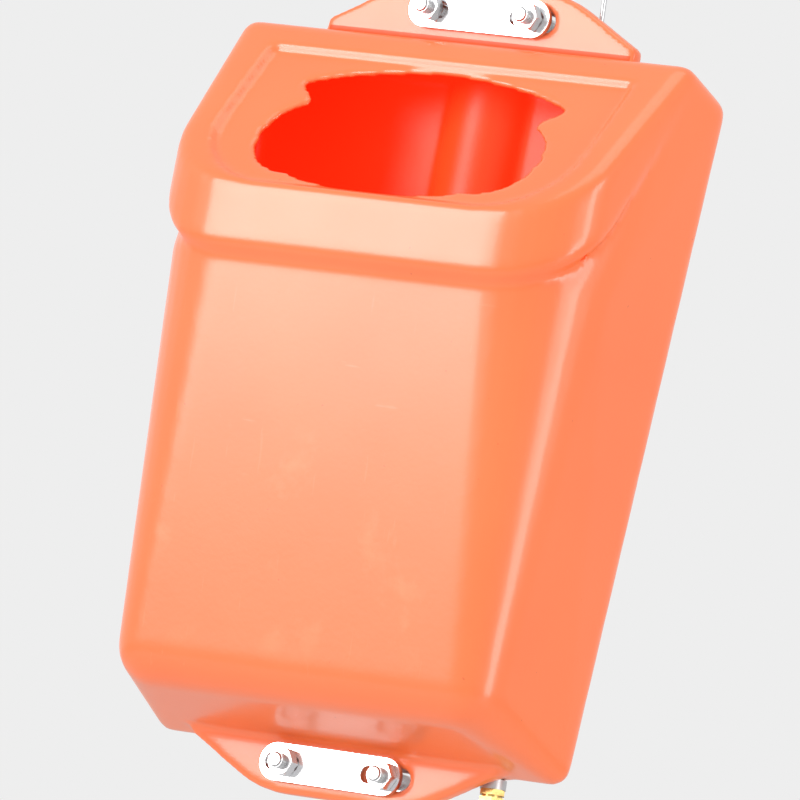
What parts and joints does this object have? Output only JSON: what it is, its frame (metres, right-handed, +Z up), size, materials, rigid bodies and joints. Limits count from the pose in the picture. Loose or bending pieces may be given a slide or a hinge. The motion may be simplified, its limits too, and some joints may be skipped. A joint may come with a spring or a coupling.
{
  "type": "pole-mounted beacon holder",
  "caption": "Open-topped plastic pocket for a position beacon, clamped to a vertical pole by U-bolts, with a lifting rod in its rear corner.",
  "frame": {"origin": "on the pole's axis, midway between the two clamps", "axes": "+Z up along the pole, -Y towards the front of the pocket, +X to the right of someone facing the pocket"},
  "size_m": [0.273, 0.1538, 0.4409],
  "materials": {
    "orange_plastic": "satin, softly glossy",
    "stainless": "polished",
    "brass": "machined",
    "zinc_grey": "satin"
  },
  "bodies": {
    "root": {"housing": "orange_plastic", "upper_back_plate": "stainless", "lower_back_plate": "stainless", "upper_u_bolt": "stainless", "lower_u_bolt": "stainless", "upper_left_nut": "stainless", "upper_right_nut": "stainless", "lower_left_nut": "stainless", "lower_right_nut": "stainless", "rod_top_bush": "zinc_grey", "brass_fitting": "brass", "brass_lock_nut": "brass", "fitting_washer": "zinc_grey"},
    "lifting_rod": {"lift_rod": "stainless", "rod_pull_ring": "stainless", "rod_upper_collar": "stainless", "rod_lower_collar": "stainless"},
    "upper_plate": {"upper_front_plate": "stainless"},
    "lower_plate": {"lower_front_plate": "stainless"}
  },
  "joints": [
    {"name": "rod_lift", "type": "slide", "parent": "root", "child": "lifting_rod", "axis": [-0.0558, 0, 0.9984], "range_m": [0, 0.012]},
    {"name": "upper_plate_slide", "type": "slide", "parent": "root", "child": "upper_plate", "axis": [1, 0, 0], "range_m": [-0.0026, 0.0054]},
    {"name": "lower_plate_slide", "type": "slide", "parent": "root", "child": "lower_plate", "axis": [1, 0, 0], "range_m": [-0.0004, 0.0076]}
  ]
}
